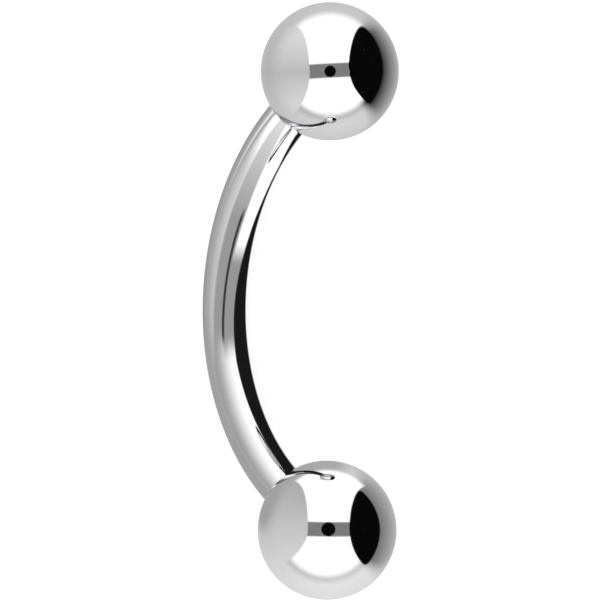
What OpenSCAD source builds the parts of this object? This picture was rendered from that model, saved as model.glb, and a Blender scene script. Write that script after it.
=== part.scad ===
// Belly button ring: a curved barbell of mirror-polished steel.
// One bent bar carries a screw-on ball on each of its two threaded ends.
// The ring lies as it rests by itself: on both balls and on the belly of its bend.
// X runs through the centres of the balls, Y across the bend towards its belly, Z up.
// The origin is on the surface that the ring lies on, under the middle of its outline.

/* [Bar] */
// Diameter of the bar
bar_d = 1.6; // [1.4:0.1:2]
// Radius of the bend, to the middle of the bar
bend_r = 8.4; // [8.4:0.1:10]
// Straight distance between the two balls, which is the length that the ring is sold by
ball_gap = 11.6; // [9:0.1:12]

/* [Balls] */
// Diameter of each ball
ball_d = 5; // [4:0.1:5.5]
// Diameter of the flat on a ball that beds on the bar's shoulder
seat_d = 1.7; // [1.65:0.05:2]
// Diameter of the countersink round the mouth of a ball's bore
mouth_d = 1.42; // [1.4:0.02:1.5]
// Depth of a ball's bore, from the flat
bore_depth = 2.9; // [2.8:0.1:3]

/* [Threads] */
// Outside diameter of the thread on each end of the bar
thread_d = 1.2; // [1:0.05:1.2]
// Pitch of the thread
thread_pitch = 0.25; // [0.2:0.05:0.25]
// Length of each threaded end, from the bar's shoulder
post_len = 2.5; // [2:0.1:2.6]
// Clearance all round a thread in its ball's bore
thread_gap = 0.03; // [0.02:0.01:0.05]

/* [Hidden] */
$fn = 96;

bar_r = bar_d / 2;
ball_r = ball_d / 2;
seat_r = seat_d / 2;
mouth_r = mouth_d / 2;
thread_r = thread_d / 2;
bore_r = thread_r + thread_gap;

// From the centre of a ball to the flat that beds on the shoulder
seat_off = sqrt(ball_r * ball_r - seat_r * seat_r);
// From the middle of the ring to the centre of each ball
reach = ball_gap / 2 + ball_r;
// Half of the angle that the bend sweeps, for which each straight end points at its ball's centre
bend_half = asin(reach / norm([bend_r, seat_off])) - atan2(seat_off, bend_r);
// From the line through the balls to the centre of the bend, and to the middle of its belly
bend_centre = seat_off * sin(bend_half) - bend_r * cos(bend_half);
belly = bend_centre + bend_r;
// Lean of the bend's plane when both balls and the belly touch the surface
lean = asin((ball_r - bar_r) / belly);
// The balls' place across the ring, which centres its outline on the origin
balls_y = (ball_r - belly * cos(lean) - bar_r) / 2;

// Thread: depth of its groove, width of each crest and root, bare neck at the shoulder
groove_depth = 0.6 * thread_pitch;
root_r = thread_r - groove_depth;
crest_w = thread_pitch / 8;
root_w = thread_pitch / 4;
flank_w = (thread_pitch - crest_w - root_w) / 2;
neck = thread_pitch;
thread_turns = floor((post_len - neck) / thread_pitch);
// How far the post's foot runs into the bar, so that the two are one solid
foot = 0.4;
// Length of the drill's cone at the end of a bore, and depth of the countersink
drill_tip = bore_r / tan(59);
mouth_depth = mouth_r - bore_r;
// Overshoot of a cut past the face that it opens
past = 0.2;

// Carries a shape from the bend's own plane, where the balls' centres lie on X, to the resting pose
module at_rest() {
    translate([0, balls_y, ball_r])
        rotate([-lean, 0, 0])
            children();
}

// Stands a shape on the shoulder at one end of the bar, +Z out along the threaded end
module at_shoulder(side) {
    translate([side * bend_r * sin(bend_half), bend_centre + bend_r * cos(bend_half), 0])
        rotate([90, 0, side * (90 - bend_half)])
            children();
}

// One threaded end: its grooves are rings of the thread's own depth and pitch
module threaded_post() {
    rings = [
        for (turn = [0 : thread_turns - 1])
            let (start = neck + turn * thread_pitch)
                each [
                    [root_r, start],
                    [thread_r, start + flank_w],
                    [thread_r, start + flank_w + crest_w],
                    [root_r, start + 2 * flank_w + crest_w],
                ]
    ];
    rotate_extrude()
        polygon(concat([[0, -foot], [root_r, -foot]], rings, [[root_r, post_len], [0, post_len]]));
}

// The bar: one bent rod, turned down at both ends to a shoulder and a threaded post
module curved_bar() {
    color("silver")
        at_rest()
            union() {
                translate([0, bend_centre, 0])
                    rotate([0, 0, 90 - bend_half])
                        rotate_extrude(angle = 2 * bend_half)
                            translate([bend_r, 0])
                                circle(bar_r);
                for (side = [-1, 1])
                    at_shoulder(side)
                        threaded_post();
            }
}

// A ball on its shoulder: a flat to bed on, a countersunk mouth and a blind bore
module ball(side) {
    at_rest()
        at_shoulder(side)
            difference() {
                translate([0, 0, seat_off])
                    sphere(ball_r);
                translate([0, 0, -ball_d])
                    cylinder(h = ball_d, r = ball_r);
                rotate_extrude()
                    polygon([
                        [0, -past],
                        [mouth_r, -past],
                        [mouth_r, 0],
                        [bore_r, mouth_depth],
                        [bore_r, bore_depth],
                        [0, bore_depth + drill_tip],
                    ]);
            }
}

module top_ball() {
    color("gainsboro")
        ball(1);
}

module bottom_ball() {
    color("gainsboro")
        ball(-1);
}

curved_bar();
top_ball();
bottom_ball();
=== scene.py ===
# %% [markdown]
# A belly button ring: a curved barbell of mirror-polished steel with a ball screwed on each end.
# The imported model gives every size and every moving body. This script makes the looks around it:
# rounder and finer meshes than the model's, the steel's finish, the floor, the light and the camera.
# The box of the imported model is kept.

# %% Load the imported ring
from math import asin, atan2, ceil, cos, degrees, hypot, pi, radians, sin, tan

import bmesh
import bpy
from mathutils import Matrix, Vector


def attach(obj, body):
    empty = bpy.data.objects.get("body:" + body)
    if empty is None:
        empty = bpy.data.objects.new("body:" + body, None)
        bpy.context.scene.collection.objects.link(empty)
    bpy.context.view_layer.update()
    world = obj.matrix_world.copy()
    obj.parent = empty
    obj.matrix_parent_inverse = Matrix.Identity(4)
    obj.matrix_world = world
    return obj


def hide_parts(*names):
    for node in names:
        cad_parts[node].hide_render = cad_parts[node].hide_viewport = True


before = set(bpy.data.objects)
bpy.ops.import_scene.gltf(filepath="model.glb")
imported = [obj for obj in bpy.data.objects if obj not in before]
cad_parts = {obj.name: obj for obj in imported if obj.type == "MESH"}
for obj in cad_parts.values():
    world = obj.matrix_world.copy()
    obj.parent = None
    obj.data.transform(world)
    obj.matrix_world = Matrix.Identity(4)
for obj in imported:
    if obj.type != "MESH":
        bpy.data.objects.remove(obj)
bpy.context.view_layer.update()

# %% [markdown]
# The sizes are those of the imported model, in metres. A 14 gauge bar is 1.6 mm thick and is bent
# to a radius of 8.4 mm. The straight gap between the two 5 mm balls is 11.6 mm.
# What follows from them, such as the angle of the bend, is worked out in the model's own way,
# so that a changed size would move the looks and the solids alike.

# %% Sizes of the ring
MM = 0.001
bar_r = 0.8 * MM
bend_r = 8.4 * MM
ball_r = 2.5 * MM
reach = 5.8 * MM + ball_r
seat_r = 0.85 * MM
seat_off = (ball_r ** 2 - seat_r ** 2) ** 0.5
bend_half = asin(reach / hypot(bend_r, seat_off)) - atan2(seat_off, bend_r)
bend_centre = seat_off * sin(bend_half) - bend_r * cos(bend_half)
belly = bend_centre + bend_r
lean = asin((ball_r - bar_r) / belly)
balls_y = (ball_r - belly * cos(lean) - bar_r) / 2
print("bend sweeps", round(degrees(2 * bend_half), 2), "degrees and leans", round(degrees(lean), 2))

# %% [markdown]
# The ring lies on both balls and on the belly of its bend. Each shape is made where it is easy
# to make: the bar in the flat plane of its bend, a ball and a thread upright on the shoulder
# that carries them. Two matrices then take the shapes to the place where the ring rests.

# %% Places
at_rest = Matrix.Translation((0, balls_y, ball_r)) @ Matrix.Rotation(-lean, 4, "X")


def at_shoulder(side):
    """From upright on a shoulder to the plane of the bend; side is 1 at the top ball, else -1."""
    foot = Vector((side * bend_r * sin(bend_half), bend_centre + bend_r * cos(bend_half), 0))
    turn = Matrix.Rotation(side * (pi / 2 - bend_half), 4, "Z") @ Matrix.Rotation(pi / 2, 4, "X")
    return Matrix.Translation(foot) @ turn


for side in (1, -1):
    middle = at_rest @ at_shoulder(side) @ Vector((0, 0, seat_off))
    print("ball's centre in mm", [round(c / MM, 3) for c in middle])

# %% [markdown]
# A thread is one groove that winds along its rod. A lathe cuts it with a tool that moves one pitch
# at every turn, and spin does the same: it sweeps the outline of one pitch round the axis while it
# climbs. The turns meet edge to edge and are merged. The radius is then held down near both ends,
# so that the groove runs out softly, and two cuts trim the length.

# %% Thread
pitch = 0.25 * MM
groove = 0.6 * pitch
crest_w = pitch / 8
root_w = pitch / 4
TURN_STEPS = 64
TINY = 1e-7


def thread(low_r, high_r, low_w, high_w, start, end, runs_from):
    """A tube with a helical groove, open at both ends, from start to end along Z."""
    bm = bmesh.new()
    flank = (pitch - low_w - high_w) / 2
    below = start - pitch
    outline = [
        (low_r, 0), (low_r, low_w), (high_r, low_w + flank), (high_r, pitch - flank), (low_r, pitch),
    ]
    points = [bm.verts.new((r, 0, below + z)) for r, z in outline]
    for a, b in zip(points, points[1:]):
        bm.edges.new((a, b))
    turns = ceil((end - start) / pitch) + 2
    bmesh.ops.spin(
        bm, geom=bm.verts[:] + bm.edges[:], cent=(0, 0, 0), axis=(0, 0, 1),
        dvec=(0, 0, pitch / TURN_STEPS), angle=2 * pi * turns, steps=TURN_STEPS * turns,
    )
    bmesh.ops.remove_doubles(bm, verts=bm.verts, dist=TINY)
    for v in bm.verts:
        r = v.co.xy.length
        room = max(0, min(v.co.z - runs_from, end - v.co.z))
        v.co.xy *= min(r, low_r + room) / r
    for height, up in ((start, -1), (end, 1)):
        bmesh.ops.bisect_plane(
            bm, geom=bm.verts[:] + bm.edges[:] + bm.faces[:], dist=TINY / 10,
            plane_co=(0, 0, height), plane_no=(0, 0, up), clear_outer=True,
        )
    return bm


def rim(bm, height):
    """The open edges that lie at a height along Z."""
    level = [e for e in bm.edges if all(abs(v.co.z - height) < 5 * TINY for v in e.verts)]
    return [e for e in level if e.is_boundary]


def add(bm, other, matrix=Matrix.Identity(4)):
    """Puts a copy of the other shape into bm, carried by a matrix, and frees the other."""
    other.transform(matrix)
    carrier = bpy.data.meshes.new("carrier")
    other.to_mesh(carrier)
    bm.from_mesh(carrier)
    bpy.data.meshes.remove(carrier)
    other.free()


def cut_faces(bm, slot=1):
    """Gives the faces that are there the second finish, that of cut steel."""
    for f in bm.faces:
        f.material_index = slot


sample = thread(0.45 * MM, 0.6 * MM, root_w, crest_w, 0, 2.5 * MM, pitch)
print("a thread has", len(sample.faces), "faces and", len(rim(sample, 0)), "edges at its foot")
sample.free()

# %% [markdown]
# Each end of the real bar is turned down on a lathe: a flat shoulder with its edge just broken,
# a plain neck, then the thread with a chamfered tip. The shoulder is a short outline spun once
# round the axis. Its inner edge is bridged to the foot of the thread, and the tip is closed.

# %% Threaded end
post_len = 2.5 * MM
thread_r = 0.6 * MM
root_r = thread_r - groove
edge_round = 0.03 * MM
neck_corner = 0.05 * MM
BAR_SIDES = 96


def threaded_end():
    """Shoulder, neck and thread, upright on the shoulder's plane."""
    bm = bmesh.new()
    corner = bm.verts.new((bar_r, 0, -edge_round))
    arc = bmesh.ops.spin(
        bm, geom=[corner], cent=(bar_r - edge_round, 0, -edge_round), axis=(0, -1, 0),
        angle=pi / 2, steps=4,
    )
    last = next(v for v in arc["geom_last"] if isinstance(v, bmesh.types.BMVert))
    inner = bm.verts.new((root_r + neck_corner, 0, 0))
    bm.edges.new((last, inner))
    bmesh.ops.spin(
        bm, geom=bm.verts[:] + bm.edges[:], cent=(0, 0, 0), axis=(0, 0, 1),
        angle=2 * pi, steps=BAR_SIDES, use_merge=True,
    )
    post = thread(root_r, thread_r, root_w, crest_w, 0, post_len, pitch)
    bmesh.ops.holes_fill(post, edges=rim(post, post_len), sides=0)
    cut_faces(post)
    add(bm, post)
    bmesh.ops.bridge_loops(bm, edges=rim(bm, 0))
    return bm


sample = threaded_end()
open_edges = sum(e.is_boundary for e in sample.edges)
print("a threaded end has", len(sample.faces), "faces;", open_edges, "open edges")
sample.free()

# %% [markdown]
# The bar itself is drawn rod, bent round a former. A circle spun about the centre of the bend
# gives it in one call, with many short steps because a mirror shows every facet. The two threaded
# ends are set on its open ends. Their rims lie within a few thousandths of a millimetre of the
# bar's, and are welded to them, which makes one closed solid, as the real bar is.

# %% Bar
BEND_STEPS = 280
WELD = 0.005 * MM
SHARP = radians(32)


def finish_piece(bm, name, body, node):
    """Takes a closed shape to rest and makes it the piece that stands for a node of the model."""
    bmesh.ops.remove_doubles(bm, verts=bm.verts, dist=TINY)
    bmesh.ops.recalc_face_normals(bm, faces=bm.faces)
    bm.transform(at_rest)
    open_edges = sum(not e.is_manifold for e in bm.edges)
    for f in bm.faces:
        f.smooth = True
    mesh = bpy.data.meshes.new(name)
    volume = bm.calc_volume(signed=True)
    bm.to_mesh(mesh)
    bm.free()
    mesh.set_sharp_from_angle(angle=SHARP)
    piece = bpy.data.objects.new(name, mesh)
    bpy.context.scene.collection.objects.link(piece)
    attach(piece, body)
    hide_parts(node)
    print(name, len(mesh.polygons), "faces,", open_edges, "open edges,", end=" ")
    print(round(volume / MM ** 3, 2), "cubic mm")
    return piece


swing = bend_half - edge_round / bend_r
bm = bmesh.new()
bmesh.ops.create_circle(
    bm, segments=BAR_SIDES, radius=bar_r,
    matrix=Matrix.Translation((0, belly, 0)) @ Matrix.Rotation(pi / 2, 4, "Y"),
)
pivot = (0, bend_centre, 0)
bmesh.ops.rotate(bm, verts=bm.verts, cent=pivot, matrix=Matrix.Rotation(swing, 3, "Z"))
bmesh.ops.spin(
    bm, geom=bm.verts[:] + bm.edges[:], cent=pivot, axis=(0, 0, 1),
    angle=-2 * swing, steps=BEND_STEPS,
)
for side in (1, -1):
    add(bm, threaded_end(), at_shoulder(side))
rims = [v for v in bm.verts if v.is_boundary]
bmesh.ops.remove_doubles(bm, verts=rims, dist=WELD)
bar = finish_piece(bm, "bar", "bar", "curved_bar")

# %% [markdown]
# A real ball is turned and polished as a plain ball, then faced off, drilled and tapped.
# Its outline is one arc from the far pole to the edge of the flat, then the flat and the
# countersink. That is spun once round the ball's axis, and the edge of the flat is broken with
# a small bevel. Inside are the tapped wall and the cone that the drill leaves at the bottom.
# The tapped wall clears the crests of the bar's thread, so a ball can be drawn off in a straight line.

# %% Balls
mouth_r = 0.71 * MM
bore_r = 0.63 * MM
bore_depth = 2.9 * MM
mouth_depth = mouth_r - bore_r
bore_groove = groove * 0.6
drill_tip = bore_r / tan(radians(59))
flat_break = 0.02 * MM
mouth_break = 0.01 * MM
BALL_SIDES = 192
ARC_STEPS = 120


def on_circle(edge, r, z):
    """Whether an edge runs round the Z axis at that radius and height."""
    return all(abs(v.co.xy.length - r) < TINY and abs(v.co.z - z) < TINY for v in edge.verts)


def ball():
    """A ball upright on its shoulder, its flat in the plane of the shoulder."""
    bm = bmesh.new()
    pole = bm.verts.new((0, 0, seat_off + ball_r))
    arc = bmesh.ops.spin(
        bm, geom=[pole], cent=(0, 0, seat_off), axis=(0, 1, 0),
        angle=pi - asin(seat_r / ball_r), steps=ARC_STEPS,
    )
    last = next(v for v in arc["geom_last"] if isinstance(v, bmesh.types.BMVert))
    step = 0.02 * MM
    for r, z in ((mouth_r, 0), (bore_r + step, mouth_depth - step)):
        point = bm.verts.new((r, 0, z))
        bm.edges.new((last, point))
        last = point
    bmesh.ops.spin(
        bm, geom=bm.verts[:] + bm.edges[:], cent=(0, 0, 0), axis=(0, 0, 1),
        angle=2 * pi, steps=BALL_SIDES, use_merge=True,
    )
    bmesh.ops.remove_doubles(bm, verts=bm.verts, dist=TINY)
    for r, offset in ((seat_r, flat_break), (mouth_r, mouth_break)):
        bmesh.ops.bevel(
            bm, geom=[e for e in bm.edges if on_circle(e, r, 0)], affect="EDGES",
            offset=offset, segments=3, profile=0.5, material=-1,
        )
    bore = thread(bore_r, bore_r + bore_groove, crest_w, root_w, mouth_depth, bore_depth, mouth_depth)
    cone = bmesh.ops.extrude_edge_only(bore, edges=rim(bore, bore_depth))
    tip = [v for v in cone["geom"] if isinstance(v, bmesh.types.BMVert)]
    bmesh.ops.pointmerge(bore, verts=tip, merge_co=(0, 0, bore_depth + drill_tip))
    cut_faces(bore)
    add(bm, bore)
    bmesh.ops.bridge_loops(bm, edges=rim(bm, mouth_depth) + rim(bm, mouth_depth - step))
    return bm


balls = []
for side, end in ((1, "top"), (-1, "bottom")):
    bm = ball()
    bm.transform(at_shoulder(side))
    balls.append(finish_piece(bm, end + "_ball_steel", end + "_end", end + "_ball"))

# %% [markdown]
# Materials are graphs of nodes. Long sums of Math nodes are hard to read in Python, so a small
# class wraps a socket: adding or multiplying two wrapped sockets adds the node. Every other node
# comes from one method, which sets the node up first and then fills or links its sockets.

# %% Node helpers


class Wire:
    """A socket of a material that can be used in sums."""

    def __init__(self, tree, socket):
        self.tree, self.socket = tree, socket

    def maths(self, operation, *values):
        return node(self.tree, "ShaderNodeMath", {"operation": operation}, dict(enumerate(values)))

    def __add__(self, other):
        return self.maths("ADD", self, other)

    def __radd__(self, other):
        return self.maths("ADD", other, self)

    def __sub__(self, other):
        return self.maths("SUBTRACT", self, other)

    def __rsub__(self, other):
        return self.maths("SUBTRACT", other, self)

    def __mul__(self, other):
        return self.maths("MULTIPLY", self, other)

    def __truediv__(self, other):
        return self.maths("DIVIDE", self, other)

    def __neg__(self):
        return self.maths("MULTIPLY", self, -1.0)

    def __abs__(self):
        return self.maths("ABSOLUTE", self)

    def at_least(self, limit):
        return self.maths("MAXIMUM", self, limit)

    def at_most(self, limit):
        return self.maths("MINIMUM", self, limit)


def node(tree, kind, settings=None, sockets=None, out=0):
    """Adds a node, sets it up, then fills or links its sockets. Gives back one output, wrapped."""
    made = tree.nodes.new(kind)
    for name, value in (settings or {}).items():
        setattr(made, name, value)
    for key, value in (sockets or {}).items():
        if isinstance(value, Wire):
            tree.links.new(value.socket, made.inputs[key])
        else:
            made.inputs[key].default_value = value
    return Wire(tree, made.outputs[out])


def material(name):
    """An empty material and its tree."""
    made = bpy.data.materials.new(name)
    made.use_nodes = True
    made.node_tree.nodes.clear()
    return made, made.node_tree


def surface(tree, shader):
    """Links a shader to a new output node."""
    node_out = tree.nodes.new("ShaderNodeOutputMaterial")
    tree.links.new(shader.socket, node_out.inputs["Surface"])


def soft_step(value, edge, width):
    """0 below the edge and 1 above it, with a soft change over the width."""
    return node(
        value.tree, "ShaderNodeMapRange", {"interpolation_type": "SMOOTHSTEP"},
        {"Value": value, "From Min": edge - width * 0.5, "From Max": edge + width * 0.5},
    )


def blend(mask, low, high):
    """Low where the mask is 0, high where it is 1."""
    return low + mask * (high - low)


print("helpers", [helper.__name__ for helper in (node, material, surface, soft_step, blend)])

# %% [markdown]
# Surgical steel that has been polished with a fine compound is a mirror with almost no colour.
# What tells it from a perfect mirror is small: hairlines left by the mop, a faint haze where it
# was handled, and a surface that is never quite even. The hairlines are a very stretched noise,
# and the haze is a broad one. They feed the roughness and a bump of about a tenth of a micron.

# %% Polished steel
HAIR_SIZE = (24 * MM, 1 * MM, 1 * MM)
HAZE_PER_METRE = 520.0
CHATTER_PER_METRE = 9000.0


def steel(name, tone, gloss, hair_scale, hair_turn):
    """Mirror-polished steel with hairlines that run along the turned X axis."""
    made, tree = material(name)
    place = node(tree, "ShaderNodeTexCoord", out="Object")
    along = node(
        tree, "ShaderNodeMapping", {"vector_type": "TEXTURE"},
        {"Vector": place, "Rotation": hair_turn, "Scale": HAIR_SIZE},
    )
    hair = node(
        tree, "ShaderNodeTexNoise", {},
        {"Vector": along, "Scale": hair_scale, "Detail": 3.0, "Roughness": 0.6}, out="Fac",
    )
    haze = node(
        tree, "ShaderNodeTexNoise", {},
        {"Vector": place, "Scale": HAZE_PER_METRE, "Detail": 4.0, "Roughness": 0.55}, out="Fac",
    )
    marks = soft_step(hair, 0.66, 0.12)
    smudge = soft_step(haze, 0.56, 0.2)
    roughness = gloss + smudge * 0.02 + marks * 0.05
    colour = node(
        tree, "ShaderNodeMix", {"data_type": "RGBA"},
        {0: smudge * 0.7 + marks * 0.3, 6: (*tone, 1), 7: (*[c * 0.965 for c in tone], 1)}, out=2,
    )
    bump = node(
        tree, "ShaderNodeBump", {},
        {"Height": hair * 0.7 + haze * 0.3, "Strength": 0.12, "Distance": 0.000004},
    )
    shader = node(
        tree, "ShaderNodeBsdfPrincipled", {},
        {"Base Color": colour, "Roughness": roughness, "Metallic": 1.0, "Normal": bump},
    )
    surface(tree, shader)
    return made


def cut_steel(name):
    """Steel as the cutting tool leaves it in a thread: duller, with fine chatter."""
    made, tree = material(name)
    place = node(tree, "ShaderNodeTexCoord", out="Object")
    chatter = node(
        tree, "ShaderNodeTexNoise", {},
        {"Vector": place, "Scale": CHATTER_PER_METRE, "Detail": 4.0, "Roughness": 0.6}, out="Fac",
    )
    colour = node(
        tree, "ShaderNodeMix", {"data_type": "RGBA"},
        {0: chatter, 6: (0.6, 0.6, 0.61, 1), 7: (0.46, 0.46, 0.47, 1)}, out=2,
    )
    bump = node(
        tree, "ShaderNodeBump", {},
        {"Height": chatter, "Strength": 0.14, "Distance": 0.00001},
    )
    shader = node(
        tree, "ShaderNodeBsdfPrincipled", {},
        {"Base Color": colour, "Roughness": 0.18 + chatter * 0.12, "Metallic": 1.0, "Normal": bump},
    )
    surface(tree, shader)
    return made


ball_steel = steel("polished_ball_steel", (0.8, 0.8, 0.81), 0.03, 2.6, (0, 0, 0.4))
bar_steel = steel("polished_bar_steel", (0.78, 0.78, 0.79), 0.035, 3.0, (0, 0, 0))
thread_steel = cut_steel("cut_thread_steel")
for piece, finish in ((bar, bar_steel), (balls[0], ball_steel), (balls[1], ball_steel)):
    piece.data.materials.append(finish)
    piece.data.materials.append(thread_steel)
print("materials", [m.name for m in bpy.data.materials if m.users])

# %% [markdown]
# The camera comes next, because the light is laid out round it. A small lens far away keeps the
# ring's shape true: it looks down at the ring from the front at about 59 degrees, with the chord
# between the balls upright in the picture. Its three directions are named here for the tents too.

# %% Camera
toward = Vector((-0.0741, -0.5111, 0.8563)).normalized()
upright = (Vector((1, 0, 0)) - toward.x * toward).normalized()
upright.rotate(Matrix.Rotation(radians(0.37), 3, toward))
across = upright.cross(toward)
CAMERA_FAR = 200 * MM
PIXELS_PER_METRE = 27717.5
OFF_MIDDLE = 28.4
PICTURE_PIXELS = 600
lens = bpy.data.cameras.new("camera")
lens.sensor_width = 36
lens.lens = PIXELS_PER_METRE * CAMERA_FAR * lens.sensor_width / PICTURE_PIXELS
camera = bpy.data.objects.new("camera", lens)
bpy.context.scene.collection.objects.link(camera)
aim = Vector((0, balls_y, ball_r)) - across * (OFF_MIDDLE / PIXELS_PER_METRE)
axes = Matrix((across, upright, toward)).transposed().to_4x4()
camera.matrix_world = Matrix.Translation(aim + toward * CAMERA_FAR) @ axes
lens.clip_start, lens.clip_end = 0.01, 10
bpy.context.scene.camera = camera
print("lens", round(lens.lens, 1), "mm; looks down at", round(degrees(asin(toward.z)), 1), "degrees")

# %% [markdown]
# Small things are often photographed on a light table, a pale sheet that glows from below. Here it
# lies under an even white sky, which leaves the ground white and the shadows faint. Steel has no
# shade of its own: it shows only what is round it. So the sky and the floor are kept out of the
# mirror, and the tents below are made for the mirror alone.

# %% Floor and sky
FLOOR_HALF = 6.0
SHEET = (0.26, 0.26, 0.26, 1)
TABLE_GLOW = 0.85
SKY_STRENGTH = 1.15
scene = bpy.context.scene
scene.view_settings.view_transform = "Standard"


def stage_object(name, bm, finish):
    """Makes a piece of the studio, which isn't part of the ring."""
    mesh = bpy.data.meshes.new(name)
    bm.to_mesh(mesh)
    bm.free()
    mesh.materials.append(finish)
    made = bpy.data.objects.new(name, mesh)
    scene.collection.objects.link(made)
    return made


paper, tree = material("floor_paper")
paper.cycles.emission_sampling = "NONE"
from_above = node(tree, "ShaderNodeBsdfDiffuse", {}, {"Color": SHEET})
from_below = node(tree, "ShaderNodeEmission", {}, {"Strength": TABLE_GLOW})
surface(tree, node(tree, "ShaderNodeAddShader", {}, {0: from_above, 1: from_below}))
bm = bmesh.new()
bmesh.ops.create_grid(bm, x_segments=1, y_segments=1, size=FLOOR_HALF)
floor = stage_object("floor", bm, paper)
floor.visible_glossy = False

sky = bpy.data.worlds.new("sky")
scene.world = sky
sky.use_nodes = True
sky.node_tree.nodes["Background"].inputs["Color"].default_value = (1, 1, 1, 1)
sky.node_tree.nodes["Background"].inputs["Strength"].default_value = SKY_STRENGTH
sky.cycles_visibility.glossy = False
print("floor", 2 * FLOOR_HALF, "m wide, sky of strength", SKY_STRENGTH)

# %% [markdown]
# Jewellery is photographed in a tent of white cloth, so that its mirrors have something pale and
# even to show. Here a tent is a large glowing sphere, and its shader works out for each direction
# what the cloth has there. Only reflections see it. It lets everything else through and lights
# only the pieces that it is linked to, so the balls and the bar can each have a tent of their own,
# as when a photographer lights them in turn.

# %% Tents
WHITE = 1.4
BLACK = 0.003


def tent(name, radius, glow_of, lit):
    """A glowing sphere that only the reflections in one lit piece see."""
    made, tree = material(name)
    made.cycles.emission_sampling = "NONE"
    place = node(tree, "ShaderNodeTexCoord", out="Object")
    way = node(tree, "ShaderNodeVectorMath", {"operation": "NORMALIZE"}, {0: place})
    glow = node(tree, "ShaderNodeEmission", {}, {"Color": glow_of(way), "Strength": 1.0})
    clear = node(tree, "ShaderNodeBsdfTransparent")
    surface(tree, node(tree, "ShaderNodeAddShader", {}, {0: glow, 1: clear}))
    bm = bmesh.new()
    bmesh.ops.create_icosphere(bm, subdivisions=5, radius=radius)
    sphere = stage_object(name, bm, made)
    sphere.visible_camera = sphere.visible_diffuse = sphere.visible_shadow = False
    group = bpy.data.collections.new(name + "_lights")
    group.objects.link(lit)
    sphere.light_linking.receiver_collection = group
    print(name, "has", len(tree.nodes), "nodes and lights", lit.name)


def part(way, direction):
    """How far a way goes along a direction."""
    return node(
        way.tree, "ShaderNodeVectorMath", {"operation": "DOT_PRODUCT"},
        {0: way, 1: tuple(direction) if isinstance(direction, Vector) else direction}, out="Value",
    )


def half_way(way):
    """The way that a mirror faces when it shows this direction to the lens."""
    total = node(way.tree, "ShaderNodeVectorMath", {"operation": "ADD"}, {0: way, 1: tuple(toward)})
    return node(way.tree, "ShaderNodeVectorMath", {"operation": "NORMALIZE"}, {0: total})


print("the cloth glows from", BLACK, "to", WHITE)

# %% [markdown]
# The balls' tent is a tube of cloth that runs across the picture. A ball shows its white wall above
# and below, a grey slit across the middle with the round black lens in it, and the tube's two
# mouths: a black one on the right and a grey one on the left. The rim shows a pale table that is
# painted into the tent, with painted shade on it: darkest next to the black mouth, as if in its
# shadow.
#
# Two sets of numbers place all this. x, y and z say where a direction points: right, up and towards
# the lens. u and v say where on the ball it is seen, from -1 to 1, as in the picture.

# %% One ball's cloth
SLIT_GREY, SLIT_UP, SLIT_HALF = 0.25, 0.012, 0.102
CRISP = 0.03
ROUND_TIPS = 0.12


def cloth_over_a_ball(
    shift, half, tilt, left_flare, right_flare, right_dip, right_top, white_top, top_soft, lens_spot,
    panel, panel_ends, panel_fall, rim, rim_rise, corner, painted_shadow, painted_shadow_rise,
    black_to, black_rise, black_lean, black_soft,
):
    """Gives the function that works out the tube of cloth as one ball shows it."""

    def table_under(x, y, z, u, v, low):
        """The painted table: paler in front and at the rim, with painted shade by the wall, up left
        and by the black.
        """
        table = rim + y * y * 0.15 + low.at_most(0.5) * rim_rise + x * 0.05
        # Painted shade: the table darkens by up to a fifth next to the white wall.
        table = table * (1 - soft_step(z, -0.05, 0.3) * 0.22)
        # Painted shade: the table darkens up at the left, by the corner number.
        up_left = v * 0.79 - u * 0.62
        table = table * (1 - soft_step(up_left, 0.52, 0.28) * corner)
        # Painted shadow: next to the black mouth the table turns into a dark ramp, as if the mouth
        # shaded it.
        shadow_by_black = soft_step(x - abs(y) * 0.75 - low * 0.35, 0, 0.4)
        return blend(shadow_by_black, table, painted_shadow - z * painted_shadow_rise)

    def wall(z, u, v, high, table):
        """The white wall with its slit and the lens; over the ball it ends at the table."""
        slit = soft_step(-abs(v - SLIT_UP - u * tilt), -SLIT_HALF, CRISP)
        cloth = blend(slit, WHITE, SLIT_GREY)
        lens_right, lens_up, lens_r = lens_spot
        from_lens = (u - lens_right) * (u - lens_right) + (v - lens_up) * (v - lens_up)
        cloth = blend(soft_step(-from_lens, -lens_r * lens_r, 0.0015), cloth, BLACK)
        return blend(soft_step(-z - high * white_top, -0.2, 0.3 + high * top_soft), cloth, table)

    def glow_of(way):
        x, y, z = (part(way, d) for d in (across, upright, toward))
        u, v = (part(half_way(way), d) for d in (across, upright))
        low, high = (-y).at_least(0), y.at_least(0)
        on_right = soft_step(x, 0, 0.01)
        table = table_under(x, y, z, u, v, low)
        grey_mouth = panel + abs(y) * panel_ends - y * panel_fall
        grey_mouth = blend(soft_step(-z, 0.3, 0.8), grey_mouth, table)
        right_edge = low * low * right_flare + high * high * right_top
        right_edge = right_edge - high.at_most(0.2) * right_dip
        past_edge = abs(x - shift) - blend(on_right, low * low * left_flare, right_edge) - half
        mouths = blend(on_right, grey_mouth, table)
        cloth = blend(soft_step(past_edge, 0, CRISP), wall(z, u, v, high, table), mouths)
        to_table = z + black_to + high * high * black_rise - low * black_lean
        to_table = to_table * (CRISP / black_soft)
        in_black = past_edge.maths("SMOOTH_MIN", past_edge, to_table, ROUND_TIPS)
        return blend(soft_step(in_black, 0, CRISP) * on_right, cloth, BLACK)

    return glow_of


print("the slit shows on", round(2 * SLIT_HALF * ball_r / MM, 2), "mm of a ball's height")
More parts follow.
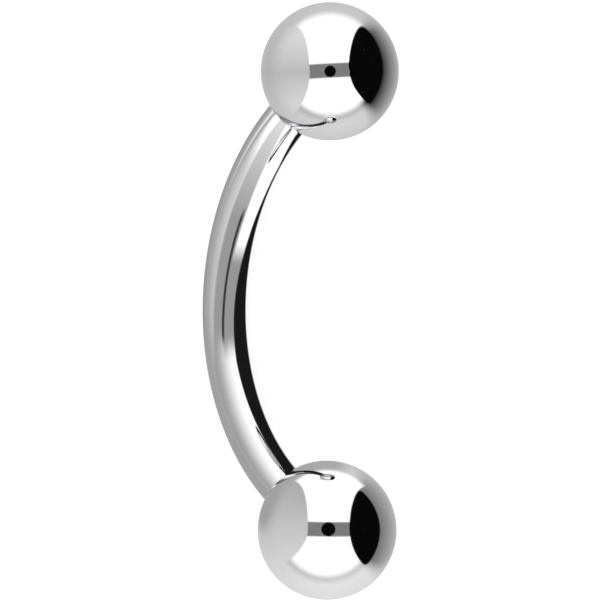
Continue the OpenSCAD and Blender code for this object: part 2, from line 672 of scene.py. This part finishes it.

# %% [markdown]
# The two balls stand at different places under the cloth, so the mouths, the table and the lens are
# not quite the same for both. Each ball gets its own numbers. Shift and half place the mouths, and
# the flares, the dip and right_top bend their edges. Tilt is the slit's. The panel is the grey mouth,
# the rim is the tone of the painted table, the corner is painted shade up at its left, and the two
# numbers after it are the painted shadow next to the black mouth. White_top and top_soft end the wall
# over the ball. The numbers for black say where the black mouth ends at the table. The two tents
# differ a little in radius, so that no two glowing surfaces lie in the same place.

# %% The balls' tents
over_top = cloth_over_a_ball(
    shift=0.0, half=0.55, tilt=0.05, left_flare=0.2, right_flare=0.6, right_dip=0.2, right_top=0.03,
    white_top=0.5, top_soft=0.3, lens_spot=(0.003, 0.0, 0.082),
    panel=0.62, panel_ends=0.3, panel_fall=0.0, rim=0.60, rim_rise=0.15, corner=0.0,
    painted_shadow=-0.05, painted_shadow_rise=0.6, black_to=0.15, black_rise=0.17, black_lean=0.1, black_soft=0.1,
)
over_bottom = cloth_over_a_ball(
    shift=0.04, half=0.56, tilt=-0.01, left_flare=0.58, right_flare=0.22, right_dip=0.0,
    right_top=0.07, white_top=0.8, top_soft=0.1, lens_spot=(0.018, 0.013, 0.1),
    panel=0.70, panel_ends=0.0, panel_fall=0.2, rim=0.66, rim_rise=0.3, corner=0.32,
    painted_shadow=0.17, painted_shadow_rise=0.38, black_to=0.13, black_rise=0.0, black_lean=0.06, black_soft=0.06,
)
tent("tent_for_the_top_ball", CAMERA_FAR, over_top, balls[0])
tent("tent_for_the_bottom_ball", CAMERA_FAR * 1.02, over_bottom, balls[1])

# %% [markdown]
# A bent bar draws out what it shows into long bands that follow the bend. So its tent is laid out
# in the bar's own terms. The angle says how far round the bend a direction is seen, in degrees: 0
# in the middle and 56 at the top ball's shoulder. The place says how far across the bar, from -1 at
# the left edge to 1 at the right one.

# %% Angle and place on the bar
bend_x = Vector((1, 0, 0))
bend_y = Vector((0, cos(lean), -sin(lean)))
bend_up = bend_x.cross(bend_y)


def scaled(direction, amount):
    """A direction made as long as a socket's value."""
    return node(
        amount.tree, "ShaderNodeVectorMath", {"operation": "SCALE"},
        {0: tuple(direction), "Scale": amount},
    )


def angle_and_place(facing):
    """Where on the bar the mirror faces this way."""
    tree = facing.tree
    turn = part(facing, bend_x) / part(facing, bend_y)
    turn = turn.maths("ARCTANGENT", turn)
    ahead = scaled(bend_x, turn.maths("COSINE", turn))
    down = scaled(bend_y, turn.maths("SINE", turn))
    along = node(tree, "ShaderNodeVectorMath", {"operation": "SUBTRACT"}, {0: ahead, 1: down})
    sideways = node(
        tree, "ShaderNodeVectorMath", {"operation": "CROSS_PRODUCT"}, {0: along, 1: tuple(toward)},
    )
    sideways = node(tree, "ShaderNodeVectorMath", {"operation": "NORMALIZE"}, {0: sideways})
    return turn.maths("DEGREES", turn), part(facing, sideways)


print("the bend's axis points", [round(c, 3) for c in bend_up])

# %% [markdown]
# The lower half of the bar shows one soft change from grey to white. Towards the top ball there are
# more bands: a pale one on the left that brightens next to the ball, a fold, a grey band, and white
# on the right. Between the halves a grey gap opens, with a thin dark seam along its left side. The
# right edge of the bar shows black cloth, which is widest below the middle.

# %% Bands of cloth


def upper_bands(angle, place):
    """Pale, grey and white bands, from left to right."""
    near_ball = (angle - 32).at_least(0).at_most(16)
    brighter = near_ball * near_ball * soft_step(place, -0.74, 0.12) * 0.0058
    pale = 0.42 + (place + 0.9) * (0.68 + brighter)
    grey = 0.41 + (angle - 24).at_least(0) * 0.0175
    fold = -0.47 + angle * 0.0065 - near_ball * 0.005
    cloth = blend(soft_step(place - fold, 0, 0.12), pale.at_most(WHITE), grey)
    turned = angle.at_least(5).at_most(56) - 33
    white_from = 0.375 - turned * turned * 0.00038
    return blend(soft_step(place - white_from, 0, 0.1), cloth, WHITE)


def gap_and_seam(angle, place, cloth):
    """The grey gap in the middle and the dark seam on its left."""
    seam = -0.015 + angle * 0.0092
    gap = soft_step(angle, -11.5, 9) * (1 - soft_step(angle, 15, 8)) * soft_step(place - seam, 0, 0.04)
    cloth = blend(gap, cloth, 0.40)
    line = soft_step(-abs(place - seam), -0.055, 0.05)
    line = line * soft_step(angle, -9, 4) * (1 - soft_step(angle, 26, 4))
    return blend(line, cloth, 0.05)


def black_side(angle, place, cloth):
    """The black cloth along the right edge."""
    bulge = (angle - 12) / 16
    black_from = 0.64 + bulge.maths("TANH", bulge) * 0.27
    black_from = black_from + ((-15 - angle).at_least(0) * 0.0068).at_most(0.16)
    black_from = black_from + (angle - 22).at_least(0).at_most(8) * 0.003
    black_from = black_from - (angle - 40).at_least(0).at_most(12) * 0.011
    return blend(soft_step(place - black_from, 0, 0.06), cloth, 0.012)


print("the bands change at the middle, 0 degrees, and next to the ball, from 32 degrees")

# %% [markdown]
# Far round the bar, past its ends and behind it, the bands would run together in a point, so plain
# grey cloth takes over there. One thing is painted shade: what reaches the bar's tent by way of a ball
# has met a second mirror, Light Path counts that, and there the cloth is darkened, so that each ball
# shows the bar as a thin dark line.

# %% The bar's tent


def cloth_over_the_bar(way):
    """Works out the cloth as the bar shows it."""
    facing = half_way(way)
    angle, place = angle_and_place(facing)
    lower_half = blend(soft_step(place, -0.1, 1.0), 0.445, WHITE)
    cloth = blend(soft_step(angle, -9.5, 10), lower_half, upper_bands(angle, place))
    cloth = gap_and_seam(angle, place, cloth)
    cloth = black_side(angle, place, cloth)

    above = part(facing, bend_up)
    past_ends = soft_step(abs(angle), 64, 12) * (1 - soft_step(above, 0.96, 0.04))
    cloth = blend(past_ends, cloth, blend(soft_step(angle, 0, 20), 0.15, 0.4))
    cloth = blend(soft_step(above, 0.9985, 0.002), cloth, 0.49)
    seen_along = part(way, toward)
    cloth = blend(soft_step(-seen_along, 0.92, 0.04), cloth, 0.5)

    # Painted shade: where a ball shows the bar, its cloth is darkened to a tenth.
    mirrors_met = node(way.tree, "ShaderNodeLightPath", out="Ray Depth")
    in_a_ball = soft_step(mirrors_met, 1.5, 0.1)
    return cloth * (1 - in_a_ball * soft_step(seen_along, 0.25, 0.3) * 0.9)


tent("tent_for_the_bar", CAMERA_FAR * 10, cloth_over_the_bar, bar)
